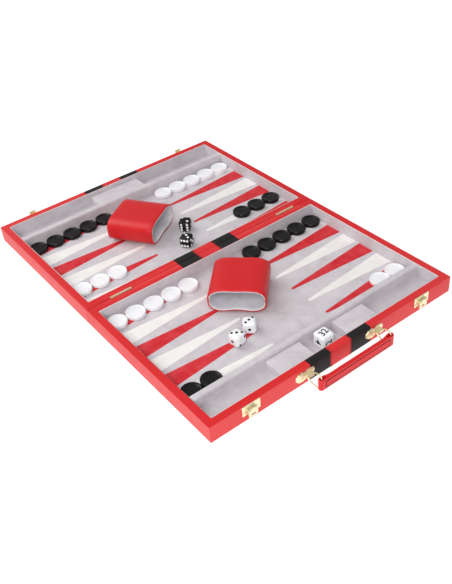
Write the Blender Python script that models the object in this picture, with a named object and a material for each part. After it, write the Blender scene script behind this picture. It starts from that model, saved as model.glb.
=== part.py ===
# Backgammon case, opened flat, with its men, dice, doubling cube and cups.
# Metres, +Z up, hinge line along X, carrying handle towards -Y.
import math

import bmesh
import bpy
from mathutils import Matrix, Vector

# ---- driving sizes ---------------------------------------------------------
CASE_W = 0.380          # along the hinge
HALF_D = 0.2620         # one half, from the hinge line to its outer face
WALL_H = 0.0234         # height of one half
RIM = 0.0102            # side and outer walls
HINGE_WALL = 0.0125     # walls that carry the hinges
SEAM = 0.0005           # half of the gap between the two halves
GAP = 0.0003            # between neighbouring pieces
HINGE_Y = 0.0090        # hinge line, measured from the middle of the whole
PIVOT_Z = 0.0236        # hinge pins, just above the rims

FLOOR_Z = 0.0046        # playing surface
PLAY_Z = 0.0049         # underside of the men, dice and cups
ROW_FIRST = 0.0293      # first row of points, from the hinge line
ROW_STEP = 0.0327
DIVIDER_Y = 0.2077
DIVIDER_T = 0.0097
DIVIDER_TOP = 0.0216
BLOCK_TOP = 0.0170

MAN_R = 0.0135
MAN_T = 0.0056
MAN_FIRST = 0.1648      # first man of a row, from the middle of the case
MAN_STEP = 0.0277
DIE = 0.0176
CUBE = 0.0188
CUP_W = 0.0756
CUP_T = 0.0366
CUP_L = 0.0707
CUP_WALL = 0.0024

LATCH_X = {"left": -0.1345, "right": 0.1355}
LATCH_PIVOT = (-0.2652, 0.0170)
HANDLE_PIVOT = (-0.2668, 0.0134)
KNUCKLE_X = {"left": -0.0515, "right": 0.0585}
GRIP_Z = (0.0024, 0.0174)

COLOURS = {
    "leather_red": ((0.62, 0.012, 0.018, 1), 0.45, 0.0),
    "leather_black": ((0.012, 0.012, 0.013, 1), 0.45, 0.0),
    "felt_grey": ((0.58, 0.55, 0.57, 1), 0.95, 0.0),
    "man_white": ((0.86, 0.86, 0.88, 1), 0.3, 0.0),
    "man_black": ((0.012, 0.012, 0.012, 1), 0.25, 0.0),
    "brass": ((0.80, 0.60, 0.28, 1), 0.28, 1.0),
}

scene = bpy.context.scene
for old in list(bpy.data.objects):
    bpy.data.objects.remove(old, do_unlink=True)

# the whole case hangs from one empty on the hinge line
hinge_line = bpy.data.objects.new("hinge_line", None)
hinge_line.location = (0, HINGE_Y, 0)
scene.collection.objects.link(hinge_line)


def material(name):
    found = bpy.data.materials.get(name)
    if found:
        return found
    colour, roughness, metallic = COLOURS[name]
    made = bpy.data.materials.new(name)
    made.use_nodes = True
    surface = made.node_tree.nodes["Principled BSDF"]
    surface.inputs["Base Color"].default_value = colour
    surface.inputs["Roughness"].default_value = roughness
    surface.inputs["Metallic"].default_value = metallic
    made.diffuse_color = colour
    return made


def place(name, bm, finish, origin=(0, 0, 0), turn=0.0, smooth=False):
    """Turn a bmesh drawn about its origin into a named piece of the case."""
    bmesh.ops.recalc_face_normals(bm, faces=bm.faces[:])
    mesh = bpy.data.meshes.new(name)
    bm.to_mesh(mesh)
    bm.free()
    piece = bpy.data.objects.new(name, mesh)
    scene.collection.objects.link(piece)
    mesh.materials.append(material(finish))
    piece.parent = hinge_line
    piece.location = origin
    piece.rotation_euler = (0, 0, turn)
    if smooth:
        mesh.shade_smooth()
        mesh.set_sharp_from_angle(angle=math.radians(35))
    return piece


def add_box(bm, low, high):
    centre = [(a + b) / 2 for a, b in zip(low, high)]
    size = [b - a for a, b in zip(low, high)]
    made = bmesh.ops.create_cube(bm, size=1.0)
    bmesh.ops.scale(bm, vec=size, verts=made["verts"])
    bmesh.ops.translate(bm, vec=centre, verts=made["verts"])
    return made["verts"]


def add_prism(bm, outline, direction):
    """Extrude a flat outline, a list of 3-D points, along a direction."""
    low = [bm.verts.new(p) for p in outline]
    high = [bm.verts.new(Vector(p) + Vector(direction)) for p in outline]
    bm.faces.new(low[::-1])
    bm.faces.new(high)
    n = len(outline)
    for i in range(n):
        j = (i + 1) % n
        bm.faces.new((low[i], low[j], high[j], high[i]))


def add_rod(bm, radius, start, end, sides=12):
    start, end = Vector(start), Vector(end)
    along = end - start
    spin = along.to_track_quat("Z", "Y").to_matrix().to_4x4()
    made = bmesh.ops.create_cone(
        bm, cap_ends=True, segments=sides, radius1=radius, radius2=radius,
        depth=along.length, matrix=Matrix.Translation((start + end) / 2) @ spin)
    return made["verts"]


def add_lathe(bm, profile, sides):
    """Closed solid of revolution about Z; the profile runs from axis to axis."""
    rings = []
    for r, z in profile:
        if r == 0:
            rings.append([bm.verts.new((0, 0, z))])
            continue
        ring = []
        for k in range(sides):
            a = 2 * math.pi * k / sides
            ring.append(bm.verts.new((r * math.cos(a), r * math.sin(a), z)))
        rings.append(ring)
    for lower, upper in zip(rings, rings[1:]):
        for k in range(sides):
            m = (k + 1) % sides
            if len(lower) == 1:
                bm.faces.new((lower[0], upper[m], upper[k]))
            elif len(upper) == 1:
                bm.faces.new((lower[k], lower[m], upper[0]))
            else:
                bm.faces.new((lower[k], lower[m], upper[m], upper[k]))


def tool(bm):
    """A hidden solid that other pieces are cut with or joined to."""
    bmesh.ops.recalc_face_normals(bm, faces=bm.faces[:])
    mesh = bpy.data.meshes.new("tool")
    bm.to_mesh(mesh)
    bm.free()
    made = bpy.data.objects.new("tool", mesh)
    made.hide_render = True
    made.display_type = "WIRE"
    made.parent = hinge_line
    scene.collection.objects.link(made)
    return made


def combine(piece, bm, operation):
    """Cut a tool solid from a piece, or join it on, and drop the tool."""
    other = tool(bm)
    other.location = piece.location
    other.rotation_euler = piece.rotation_euler
    step = piece.modifiers.new(operation, "BOOLEAN")
    step.operation = operation
    step.solver = "EXACT"
    step.object = other
    bpy.context.view_layer.update()
    graph = bpy.context.evaluated_depsgraph_get()
    made = bpy.data.meshes.new_from_object(piece.evaluated_get(graph))
    piece.modifiers.clear()
    piece.data = made
    bpy.data.objects.remove(other, do_unlink=True)


def cut(piece, bm):
    combine(piece, bm, "DIFFERENCE")


def join(piece, bm):
    combine(piece, bm, "UNION")


def soften(bm, width, segments, keep=None):
    """Round the edges of a bmesh, all of them or those that keep() picks."""
    edges = [e for e in bm.edges if keep is None or keep(e)]
    bmesh.ops.bevel(bm, geom=edges, offset=width, segments=segments,
                    profile=0.5, affect="EDGES")


# ---- the two halves --------------------------------------------------------
IN_X = CASE_W / 2 - RIM
IN_NEAR = SEAM + HINGE_WALL
IN_FAR = HALF_D - RIM
HINGE_X = {"left": -0.1385, "right": 0.1405}
HINGE_LEN = 0.0320


def strip(side, x0, x1, near, far, low, high):
    """Corners of a box given by its distances from the hinge line."""
    ys = sorted((side * near, side * far))
    return (x0, ys[0], low), (x1, ys[1], high)


def frame(name, side):
    """Four walls, with the facing wall let in for the hinges."""
    bm = bmesh.new()
    add_box(bm, *strip(side, -CASE_W / 2, CASE_W / 2, SEAM, HALF_D, 0, WALL_H))
    piece = place(name, bm, "leather_red")
    bm = bmesh.new()
    add_box(bm, *strip(side, -IN_X, IN_X, IN_NEAR, IN_FAR, -0.01, 0.05))
    cut(piece, bm)
    half = HINGE_LEN / 2 + 0.0006
    for x in HINGE_X.values():
        bm = bmesh.new()
        add_box(bm, *strip(side, x - half, x + half, -0.001, 0.0017, 0.0082, 0.03))
        cut(piece, bm)
        bm = bmesh.new()
        add_box(bm, *strip(side, x - half, x + half, -0.001, 0.0024, 0.0208, 0.03))
        cut(piece, bm)
    return piece


def base(name, side):
    """Board under the felt."""
    bm = bmesh.new()
    add_box(bm, *strip(side, -IN_X + GAP, IN_X - GAP, IN_NEAR + GAP, IN_FAR - GAP,
                       0, FLOOR_Z))
    return place(name, bm, "felt_grey")


def divider(name, side, blocks):
    """Bar across the tray with the blocks that part its bays."""
    bm = bmesh.new()
    add_box(bm, *strip(side, -IN_X + GAP, IN_X - GAP, DIVIDER_Y,
                       DIVIDER_Y + DIVIDER_T, FLOOR_Z + GAP, DIVIDER_TOP))
    soften(bm, 0.0022, 2, lambda e: all(v.co.z > 0.02 for v in e.verts)
           and abs(e.verts[0].co.x - e.verts[1].co.x) > 0.1)
    piece = place(name, bm, "felt_grey", smooth=True)
    for x0, x1 in blocks:
        bm = bmesh.new()
        add_box(bm, *strip(side, x0, x1, DIVIDER_Y + DIVIDER_T / 2, IN_FAR - GAP,
                           FLOOR_Z + GAP, BLOCK_TOP))
        soften(bm, 0.0014, 2, lambda e: all(v.co.z > 0.015 for v in e.verts)
               and abs(e.verts[0].co.y - e.verts[1].co.y) > 0.02)
        join(piece, bm)
    return piece


frame("tray_front_frame", -1)
frame("tray_rear_frame", 1)
base("tray_front_base", -1)
base("tray_rear_base", 1)
divider("front_divider", -1, ((-0.0775, -0.0260), (0.0260, 0.0775)))
divider("rear_divider", 1, ((-0.0430, 0.0410),))


# ---- brass hinges in the seam ----------------------------------------------
KNUCKLE_R = 0.0016
PIN_R = 0.0006


def leaf(name, side, x, slots, with_pin):
    """One hinge leaf let into its wall, with its share of the five knuckles."""
    half, step = HINGE_LEN / 2, HINGE_LEN / 5
    bm = bmesh.new()
    add_box(bm, *strip(side, -half, half, 0.0005, 0.0013,
                       0.0088 - PIVOT_Z, 0.0208 - PIVOT_Z))
    piece = place(name, bm, "brass", (x, 0, PIVOT_Z), smooth=True)
    for k in slots:
        a = -half + step * k + 0.0002
        b = -half + step * (k + 1) - 0.0002
        bm = bmesh.new()
        add_box(bm, *strip(side, a + 0.0001, b - 0.0001, 0.0006, 0.0012,
                           -0.0036, -0.0002))
        join(piece, bm)
        bm = bmesh.new()
        add_rod(bm, KNUCKLE_R, (a, 0, 0), (b, 0, 0))
        join(piece, bm)
    bm = bmesh.new()
    add_rod(bm, PIN_R + GAP, (-0.02, 0, 0), (0.02, 0, 0), 8)
    if not with_pin:
        cut(piece, bm)
        return piece
    bm.free()
    bm = bmesh.new()
    add_rod(bm, PIN_R, (-half + 0.0003, 0, 0), (half - 0.0003, 0, 0), 8)
    join(piece, bm)
    return piece


for hand, x in HINGE_X.items():
    leaf("hinge_leaf_front_" + hand, -1, x, (0, 2, 4), True)
    leaf("hinge_leaf_rear_" + hand, 1, x, (1, 3), False)


# ---- latches ---------------------------------------------------------------
FACE = HALF_D + GAP              # where metal sits on an outer wall
PLATE_T = 0.0009


def across(edge):
    """True for an edge that runs through a plate's thickness."""
    return abs(edge.verts[0].co.y - edge.verts[1].co.y) > 0.00001


def latch_plate(name, x):
    """Plate with two lugs and the pin that the tongue swings on."""
    py, pz = LATCH_PIVOT
    bm = bmesh.new()
    add_box(bm, (-0.0126, -FACE - PLATE_T - py, 0.0096 - pz),
            (0.0126, -FACE - py, 0.0230 - pz))
    soften(bm, 0.0008, 2, across)
    piece = place(name, bm, "brass", (x, py, pz), smooth=True)
    for a, b in ((-0.0068, -0.0040), (0.0040, 0.0068)):
        bm = bmesh.new()
        add_rod(bm, 0.0015, (a, 0, 0), (b, 0, 0))
        join(piece, bm)
        bm = bmesh.new()
        add_box(bm, (a + 0.0001, 0, -0.0011), (b - 0.0001, -FACE - 0.0005 - py, 0.0010))
        join(piece, bm)
    bm = bmesh.new()
    add_rod(bm, 0.0006, (-0.0060, 0, 0), (0.0060, 0, 0), 8)
    join(piece, bm)
    for a, z in ((-0.0098, 0.0132), (0.0012, 0.0208)):
        bm = bmesh.new()
        add_rod(bm, 0.0016, (a, -FACE - PLATE_T - 0.0006 - py, z - pz),
                (a, -FACE - 0.0004 - py, z - pz), 10)
        join(piece, bm)
    return piece


def latch_tongue(name, x):
    py, pz = LATCH_PIVOT
    bm = bmesh.new()
    outline = [(-0.0065, -0.0016), (0.0065, -0.0016), (0.0065, -0.0078),
               (0.0045, -0.0100), (-0.0065, -0.0100)]
    add_prism(bm, [(u, -0.0006, w) for u, w in outline], (0, -0.0009, 0))
    piece = place(name, bm, "brass", (x, py, pz), smooth=True)
    bm = bmesh.new()
    add_box(bm, (-0.0035, -0.0014, -0.0020), (0.0035, -0.0007, -0.0001))
    join(piece, bm)
    bm = bmesh.new()
    add_rod(bm, 0.0015, (-0.0036, 0, 0), (0.0036, 0, 0))
    join(piece, bm)
    bm = bmesh.new()
    add_rod(bm, 0.0009, (-0.01, 0, 0), (0.01, 0, 0), 8)
    cut(piece, bm)
    bm = bmesh.new()
    add_box(bm, (-0.0030, -0.01, -0.0082), (0.0030, 0.01, -0.0058))
    cut(piece, bm)
    return piece


def catch(name, x):
    """Hook on the far wall that a tongue closes over."""
    bm = bmesh.new()
    add_box(bm, (-0.0110, FACE, 0.0100), (0.0110, FACE + PLATE_T, 0.0226))
    soften(bm, 0.0008, 2, across)
    piece = place(name, bm, "brass", (x, 0, 0), smooth=True)
    bm = bmesh.new()
    outline = [(FACE + 0.0004, 0.0176), (0.2672, 0.0186), (0.2684, 0.0200),
               (0.2684, 0.0246), (0.2674, 0.0250), (0.2666, 0.0240),
               (0.2664, 0.0208), (FACE + 0.0004, 0.0202)]
    add_prism(bm, [(-0.0050, y, z) for y, z in outline], (0.0100, 0, 0))
    join(piece, bm)
    for a in (-0.0085, 0.0085):
        bm = bmesh.new()
        add_rod(bm, 0.0016, (a, FACE + 0.0004, 0.0150),
                (a, FACE + PLATE_T + 0.0006, 0.0150), 10)
        join(piece, bm)
    return piece


for hand, x in LATCH_X.items():
    latch_plate("latch_plate_" + hand, x)
    latch_tongue("latch_tongue_" + hand, x)
    catch("catch_" + hand, x)


# ---- handle ----------------------------------------------------------------
WIRE_R = 0.0008


def bracket(name, x):
    """Two-lobed casting: a screwed ear and the knuckle that a ring runs in."""
    py, pz = HANDLE_PIVOT
    wall = -FACE - py
    bm = bmesh.new()
    add_rod(bm, 0.0060, (-0.0125, wall, 0.0), (-0.0125, wall - 0.0012, 0.0), 16)
    piece = place(name, bm, "brass", (x, py, pz), smooth=True)
    bm = bmesh.new()
    add_rod(bm, 0.0058, (0.0005, wall - 0.0001, 0.0014),
            (0.0005, wall - 0.0013, 0.0014), 16)
    join(piece, bm)
    bm = bmesh.new()
    add_box(bm, (-0.0100, wall - 0.0010, -0.0031), (-0.0010, wall - 0.0002, 0.0039))
    join(piece, bm)
    bm = bmesh.new()
    add_rod(bm, 0.0034, (-0.0135, wall - 0.0005, 0), (-0.0135, wall - 0.0030, 0), 12)
    join(piece, bm)
    bm = bmesh.new()
    add_rod(bm, 0.0026, (-0.0044, 0, 0), (0.0044, 0, 0), 12)
    join(piece, bm)
    bm = bmesh.new()
    add_box(bm, (-0.0043, 0, -0.0022), (0.0043, wall - 0.0005, 0.0023))
    join(piece, bm)
    bm = bmesh.new()
    add_rod(bm, WIRE_R + 0.0004, (-0.0100, 0, 0), (0.0100, 0, 0), 8)
    cut(piece, bm)
    return piece


def ring(name, x):
    """Bent wire, through the bracket's knuckle and the loop of the grip."""
    wire = [(-0.0050, 0, 0), (0.0050, 0, 0), (0.0056, -0.0006, 0.0002),
            (0.0056, -0.0030, 0.0014), (0.0050, -0.0070, 0.0034),
            (0.0036, -0.0106, 0.0051), (0.0024, -0.0140, 0.0054),
            (0.0018, -0.0156, 0.0053), (0.0018, -0.0163, 0.0044),
            (0.0018, -0.0163, -0.0111), (0.0017, -0.0157, -0.0121),
            (0.0012, -0.0140, -0.0122), (0.0000, -0.0110, -0.0119),
            (-0.0030, -0.0075, -0.0076), (-0.0050, -0.0036, -0.0026),
            (-0.0056, -0.0008, -0.0004)]
    curve = bpy.data.curves.new(name, "CURVE")
    curve.dimensions = "3D"
    curve.bevel_depth = WIRE_R
    curve.bevel_resolution = 2
    spline = curve.splines.new("POLY")
    spline.points.add(len(wire) - 1)
    for point, at in zip(spline.points, wire):
        point.co = (*at, 1)
    spline.use_cyclic_u = True
    curve.materials.append(material("brass"))
    bent = bpy.data.objects.new(name, curve)
    scene.collection.objects.link(bent)
    bent.parent = hinge_line
    bent.location = (x, *HANDLE_PIVOT)
    return bent


def handle_grip():
    """Leather strap whose ends fold back into loops for the rings."""
    py, pz = HANDLE_PIVOT
    plan = [(-0.0500, -0.2864), (0.0605, -0.2864), (0.0628, -0.2856),
            (0.0641, -0.2840), (0.0643, -0.2818), (0.0633, -0.2799),
            (0.0612, -0.2789), (0.0585, -0.2788), (0.0490, -0.2812),
            (-0.0385, -0.2812), (-0.0470, -0.2788), (-0.0505, -0.2789),
            (-0.0527, -0.2799), (-0.0538, -0.2818), (-0.0536, -0.2840),
            (-0.0523, -0.2856)]
    bm = bmesh.new()
    low, high = GRIP_Z[0] - pz, GRIP_Z[1] - pz
    add_prism(bm, [(x, y - py, low) for x, y in plan], (0, 0, high - low))
    piece = place("handle_grip", bm, "leather_red", (0, py, pz), smooth=True)
    for centre, inward in ((-0.0500, 1), (0.0605, -1)):
        bm = bmesh.new()
        hole = []
        for k in range(9):
            a = math.pi / 2 + math.pi * k / 8
            hole.append((math.cos(a) * 0.0018, math.sin(a) * 0.0018))
        hole += [(0.0062, -0.0003), (0.0062, 0.0003)]
        add_prism(bm, [(centre + inward * u, -0.2830 - py + v, -0.03) for u, v in hole],
                  (0, 0, 0.06))
        cut(piece, bm)
    return piece


for hand, x in KNUCKLE_X.items():
    bracket("handle_bracket_" + hand, x)
    ring("handle_ring_" + hand, x)
handle_grip()


# ---- loose pieces ----------------------------------------------------------
def man(name, colour, x, y):
    r, t = MAN_R, MAN_T
    bm = bmesh.new()
    add_lathe(bm, [(0, 0), (r - 0.0004, 0), (r, 0.0006), (r, t - 0.0006),
                   (r - 0.0006, t), (r - 0.0020, t), (r - 0.0032, t - 0.0009),
                   (0, t - 0.0009)], 24)
    return place(name, bm, colour, (x, y, PLAY_Z), smooth=True)


def die(name, colour, edge, round_off, x, y, turn):
    bm = bmesh.new()
    add_box(bm, (-edge / 2, -edge / 2, 0), (edge / 2, edge / 2, edge))
    soften(bm, round_off, 2)
    return place(name, bm, colour, (x, y, PLAY_Z), turn, smooth=True)


def cup_section(half_w, half_t, sides=32):
    """Flattened oval, the shape of the cup seen into its mouth."""
    out = []
    for k in range(sides):
        a = 2 * math.pi * k / sides
        c, s = math.cos(a), math.sin(a)
        out.append((half_w * math.copysign(abs(c) ** 0.62, c),
                    half_t * math.copysign(abs(s) ** 0.62, s)))
    return out


def cup(name, mouth, heading):
    """Dice cup lying on its side, mouth centre given, opening along heading."""
    outer = cup_section(CUP_W / 2, CUP_T / 2)
    inner = cup_section(CUP_W / 2 - CUP_WALL, CUP_T / 2 - CUP_WALL)
    bm = bmesh.new()

    def ring(section, x):
        return [bm.verts.new((x, u, v)) for u, v in section]

    n = len(outer)
    a, b = ring(outer, -CUP_L), ring(outer, 0)
    c, d = ring(inner, 0), ring(inner, -CUP_L + 0.0030)
    bm.faces.new(a[::-1])
    bm.faces.new(d)
    for p, q in ((a, b), (b, c), (c, d)):
        for k in range(n):
            m = (k + 1) % n
            bm.faces.new((p[k], p[m], q[m], q[k]))
    return place(name, bm, "leather_red", (mouth[0], mouth[1], PLAY_Z + CUP_T / 2),
                 heading, smooth=True)


# start position: (half, side of the board, row, how many), rows from the hinge
WHITE = ((-1, -1, 0, 5), (-1, 1, 5, 2), (1, -1, 1, 3), (1, 1, 5, 5))
BLACK = ((-1, 1, 0, 5), (-1, -1, 5, 2), (1, 1, 1, 3), (1, -1, 5, 5))
for colour, rows in (("white", WHITE), ("black", BLACK)):
    number = 1
    for side, hand, row, count in rows:
        for k in range(count):
            man(f"checker_{colour}_{number:02d}", "man_" + colour,
                hand * (MAN_FIRST - MAN_STEP * k),
                side * (ROW_FIRST + ROW_STEP * row))
            number += 1

die("die_white_1", "man_white", DIE, 0.0020, -0.0491, -0.1534, math.radians(52))
die("die_white_2", "man_white", DIE, 0.0020, -0.0746, -0.1617, math.radians(10))
die("die_black_1", "man_black", DIE, 0.0020, 0.0229, 0.0860, math.radians(45))
die("die_black_2", "man_black", DIE, 0.0020, 0.0008, 0.0510, math.radians(33))
die("doubling_cube", "man_white", CUBE, 0.0014, 0.0004, -0.2325, 0.0)
cup("cup_front", (-0.0390, -0.1166), math.radians(225.7))
cup("cup_rear", (-0.0083, 0.0978), math.radians(-56.8))
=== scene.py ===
import math

import bmesh
import bpy
from mathutils import Matrix, Vector


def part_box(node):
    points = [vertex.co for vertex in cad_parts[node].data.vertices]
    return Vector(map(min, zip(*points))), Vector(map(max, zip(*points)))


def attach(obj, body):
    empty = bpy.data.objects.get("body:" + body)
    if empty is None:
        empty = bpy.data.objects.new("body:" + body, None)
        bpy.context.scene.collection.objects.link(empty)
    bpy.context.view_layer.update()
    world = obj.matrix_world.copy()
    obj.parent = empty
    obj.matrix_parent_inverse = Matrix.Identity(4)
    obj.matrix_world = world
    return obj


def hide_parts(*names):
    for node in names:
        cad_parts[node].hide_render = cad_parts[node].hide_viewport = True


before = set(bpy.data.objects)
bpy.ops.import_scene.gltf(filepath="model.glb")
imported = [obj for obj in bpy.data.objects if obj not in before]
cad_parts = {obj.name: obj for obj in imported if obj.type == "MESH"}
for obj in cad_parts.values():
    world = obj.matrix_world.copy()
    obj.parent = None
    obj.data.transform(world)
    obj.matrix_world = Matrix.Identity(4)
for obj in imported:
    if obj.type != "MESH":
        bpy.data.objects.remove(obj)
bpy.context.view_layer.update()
scene = bpy.context.scene

# ---- sizes taken from the frame ----
FRONT_LOW, FRONT_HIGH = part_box("tray_front_frame")
REAR_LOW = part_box("tray_rear_frame")[0]
HINGE_Y = (FRONT_HIGH.y + REAR_LOW.y) / 2
HALF_W = FRONT_HIGH.x
SEAM = HINGE_Y - FRONT_HIGH.y  # half the gap between the two halves
HALF_D = HINGE_Y - FRONT_LOW.y
RIM_TOP = FRONT_HIGH.z
FELT_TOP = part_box("tray_front_base")[1].z
DIVIDER_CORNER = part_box("front_divider")[1]
DIVIDER_NEAR = HINGE_Y - DIVIDER_CORNER.y
RIM = 0.0102  # width of the rims, hinge side apart
HINGE_WALL = 0.0130  # inner face of the wall at the hinges
IN_X = HALF_W - RIM
IN_FAR = HALF_D - RIM
DIVIDER_T = 0.0097
BLOCK_TOP = 0.0170
BAND_IN, BAND_OUT = 0.0165, 0.0480  # edges of the black bands
POINT_FIRST, POINT_STEP = 0.0297, 0.0323


# ---- materials ----
def start_material(name, colour):
    """Empty node material, with its nodes and links."""
    finish = bpy.data.materials.new(name)
    finish.use_nodes = True
    finish.diffuse_color = colour
    finish.node_tree.nodes.clear()
    return finish, finish.node_tree.nodes, finish.node_tree.links


def leatherette(name, colour, rubbed, roughness, grain, gloss, coat):
    """Embossed covering: pebbled grain, faint cloudiness, rubbed high spots."""
    finish, nodes, links = start_material(name, colour)

    place = nodes.new("ShaderNodeTexCoord")
    place.label = "position on the covering"

    tone = nodes.new("NodeFrame")
    tone.label = "colour"
    cloud = nodes.new("ShaderNodeTexNoise")
    cloud.label = "slow cloudiness of the dye"
    cloud.parent = tone
    cloud.inputs["Scale"].default_value = 26.0
    cloud.inputs["Detail"].default_value = 4.0
    cloud.inputs["Roughness"].default_value = 0.6
    links.new(place.outputs["Object"], cloud.inputs["Vector"])
    shade = nodes.new("ShaderNodeValToRGB")
    shade.label = "deeper and fuller dye"
    shade.parent = tone
    shade.color_ramp.elements[0].position = 0.30
    shade.color_ramp.elements[0].color = [c * 0.90 for c in colour[:3]] + [1]
    shade.color_ramp.elements[1].position = 0.72
    shade.color_ramp.elements[1].color = colour
    links.new(cloud.outputs["Fac"], shade.inputs["Fac"])

    relief = nodes.new("NodeFrame")
    relief.label = "grain"
    pebble = nodes.new("ShaderNodeTexVoronoi")
    pebble.label = "embossed pebbles"
    pebble.parent = relief
    pebble.feature = "SMOOTH_F1"
    pebble.inputs["Scale"].default_value = grain
    pebble.inputs["Smoothness"].default_value = 0.35
    links.new(place.outputs["Object"], pebble.inputs["Vector"])
    pores = nodes.new("ShaderNodeTexNoise")
    pores.label = "pores between pebbles"
    pores.parent = relief
    pores.inputs["Scale"].default_value = grain * 1.9
    pores.inputs["Detail"].default_value = 3.0
    links.new(place.outputs["Object"], pores.inputs["Vector"])
    heights = nodes.new("ShaderNodeMix")
    heights.label = "pebbles with pores"
    heights.parent = relief
    heights.inputs["Factor"].default_value = 0.35
    links.new(pebble.outputs["Distance"], heights.inputs["A"])
    links.new(pores.outputs["Fac"], heights.inputs["B"])
    emboss = nodes.new("ShaderNodeBump")
    emboss.label = "emboss depth"
    emboss.parent = relief
    emboss.invert = True
    emboss.inputs["Strength"].default_value = 0.32
    emboss.inputs["Distance"].default_value = 0.00025
    links.new(heights.outputs["Result"], emboss.inputs["Height"])

    wear = nodes.new("NodeFrame")
    wear.label = "wear"
    edges = nodes.new("ShaderNodeNewGeometry")
    edges.label = "sharp turns of the board"
    edges.parent = wear
    turned = nodes.new("ShaderNodeMapRange")
    turned.label = "only the outermost edges"
    turned.parent = wear
    turned.inputs["From Min"].default_value = 0.54
    turned.inputs["From Max"].default_value = 0.66
    turned.inputs["To Max"].default_value = 0.55
    links.new(edges.outputs["Pointiness"], turned.inputs["Value"])
    worn = nodes.new("ShaderNodeMix")
    worn.label = "rubbed edges"
    worn.data_type = "RGBA"
    worn.parent = wear
    worn.inputs[7].default_value = rubbed
    links.new(turned.outputs["Result"], worn.inputs[0])
    links.new(shade.outputs["Color"], worn.inputs[6])

    handling = nodes.new("ShaderNodeTexNoise")
    handling.label = "patches polished by hands"
    handling.inputs["Scale"].default_value = 55.0
    handling.inputs["Detail"].default_value = 5.0
    links.new(place.outputs["Object"], handling.inputs["Vector"])
    satin = nodes.new("ShaderNodeMapRange")
    satin.label = "satin to semi-matt"
    satin.inputs["To Min"].default_value = roughness - 0.07
    satin.inputs["To Max"].default_value = roughness + 0.09
    links.new(handling.outputs["Fac"], satin.inputs["Value"])

    skin = nodes.new("ShaderNodeBsdfPrincipled")
    skin.label = "coated leatherette"
    skin.inputs["Specular IOR Level"].default_value = gloss
    skin.inputs["Coat Weight"].default_value = coat
    skin.inputs["Coat Roughness"].default_value = 0.32
    links.new(worn.outputs[2], skin.inputs["Base Color"])
    links.new(satin.outputs["Result"], skin.inputs["Roughness"])
    links.new(emboss.outputs["Normal"], skin.inputs["Normal"])
    out = nodes.new("ShaderNodeOutputMaterial")
    out.label = "covering"
    links.new(skin.outputs["BSDF"], out.inputs["Surface"])
    for node, x, y in (
            (place, -1500, 0), (cloud, -1200, 420), (shade, -950, 420),
            (pebble, -1200, -60), (pores, -1200, -330), (heights, -950, -180),
            (emboss, -420, -220), (edges, -1200, 760), (turned, -950, 760),
            (worn, -620, 520), (handling, -950, 120), (satin, -620, 160),
            (skin, -120, 120), (out, 200, 120)):
        node.location = (x, y)
    return finish


def felt(name, colour, shadow, nap):
    """Short pressed felt: matted fibres, brushed nap and a soft edge glow."""
    finish, nodes, links = start_material(name, colour)

    place = nodes.new("ShaderNodeTexCoord")
    place.label = "position on the felt"

    tone = nodes.new("NodeFrame")
    tone.label = "colour"
    brushed = nodes.new("ShaderNodeTexNoise")
    brushed.label = "nap brushed to and fro"
    brushed.parent = tone
    brushed.inputs["Scale"].default_value = 38.0
    brushed.inputs["Detail"].default_value = 6.0
    brushed.inputs["Roughness"].default_value = 0.62
    brushed.inputs["Distortion"].default_value = 0.6
    links.new(place.outputs["Object"], brushed.inputs["Vector"])
    flecks = nodes.new("ShaderNodeTexNoise")
    flecks.label = "single darker fibres"
    flecks.parent = tone
    flecks.inputs["Scale"].default_value = 900.0
    flecks.inputs["Detail"].default_value = 2.0
    links.new(place.outputs["Object"], flecks.inputs["Vector"])
    blend = nodes.new("ShaderNodeMix")
    blend.label = "nap and fibres"
    blend.parent = tone
    blend.inputs["Factor"].default_value = 0.42
    links.new(brushed.outputs["Fac"], blend.inputs["A"])
    links.new(flecks.outputs["Fac"], blend.inputs["B"])
    shade = nodes.new("ShaderNodeValToRGB")
    shade.label = "felt greys"
    shade.parent = tone
    shade.color_ramp.elements[0].position = 0.34
    shade.color_ramp.elements[0].color = shadow
    shade.color_ramp.elements[1].position = 0.62
    shade.color_ramp.elements[1].color = colour
    links.new(blend.outputs["Result"], shade.inputs["Fac"])

    relief = nodes.new("NodeFrame")
    relief.label = "fibres"
    comb = nodes.new("ShaderNodeMapping")
    comb.label = "fibres lie along the case"
    comb.parent = relief
    comb.inputs["Scale"].default_value = (1.0, 2.6, 1.0)
    links.new(place.outputs["Object"], comb.inputs["Vector"])
    matted = nodes.new("ShaderNodeTexNoise")
    matted.label = "matted fibres"
    matted.parent = relief
    matted.inputs["Scale"].default_value = 1100.0
    matted.inputs["Detail"].default_value = 4.0
    matted.inputs["Roughness"].default_value = 0.7
    links.new(comb.outputs["Vector"], matted.inputs["Vector"])
    fuzz = nodes.new("ShaderNodeBump")
    fuzz.label = "height of the nap"
    fuzz.parent = relief
    fuzz.inputs["Strength"].default_value = nap
    fuzz.inputs["Distance"].default_value = 0.0004
    links.new(matted.outputs["Fac"], fuzz.inputs["Height"])

    cloth = nodes.new("ShaderNodeBsdfPrincipled")
    cloth.label = "felt"
    cloth.inputs["Roughness"].default_value = 0.95
    cloth.inputs["Specular IOR Level"].default_value = 0.15
    cloth.inputs["Sheen Weight"].default_value = 0.35
    cloth.inputs["Sheen Roughness"].default_value = 0.5
    cloth.inputs["Sheen Tint"].default_value = (0.95, 0.93, 0.97, 1)
    links.new(shade.outputs["Color"], cloth.inputs["Base Color"])
    links.new(fuzz.outputs["Normal"], cloth.inputs["Normal"])
    out = nodes.new("ShaderNodeOutputMaterial")
    out.label = "lining"
    links.new(cloth.outputs["BSDF"], out.inputs["Surface"])
    for node, x, y in (
            (place, -1500, 0), (brushed, -1200, 520), (flecks, -1200, 250),
            (blend, -950, 400), (shade, -700, 400), (comb, -1200, -120),
            (matted, -950, -120), (fuzz, -700, -120), (cloth, -200, 120),
            (out, 150, 120)):
        node.location = (x, y)
    return finish


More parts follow.
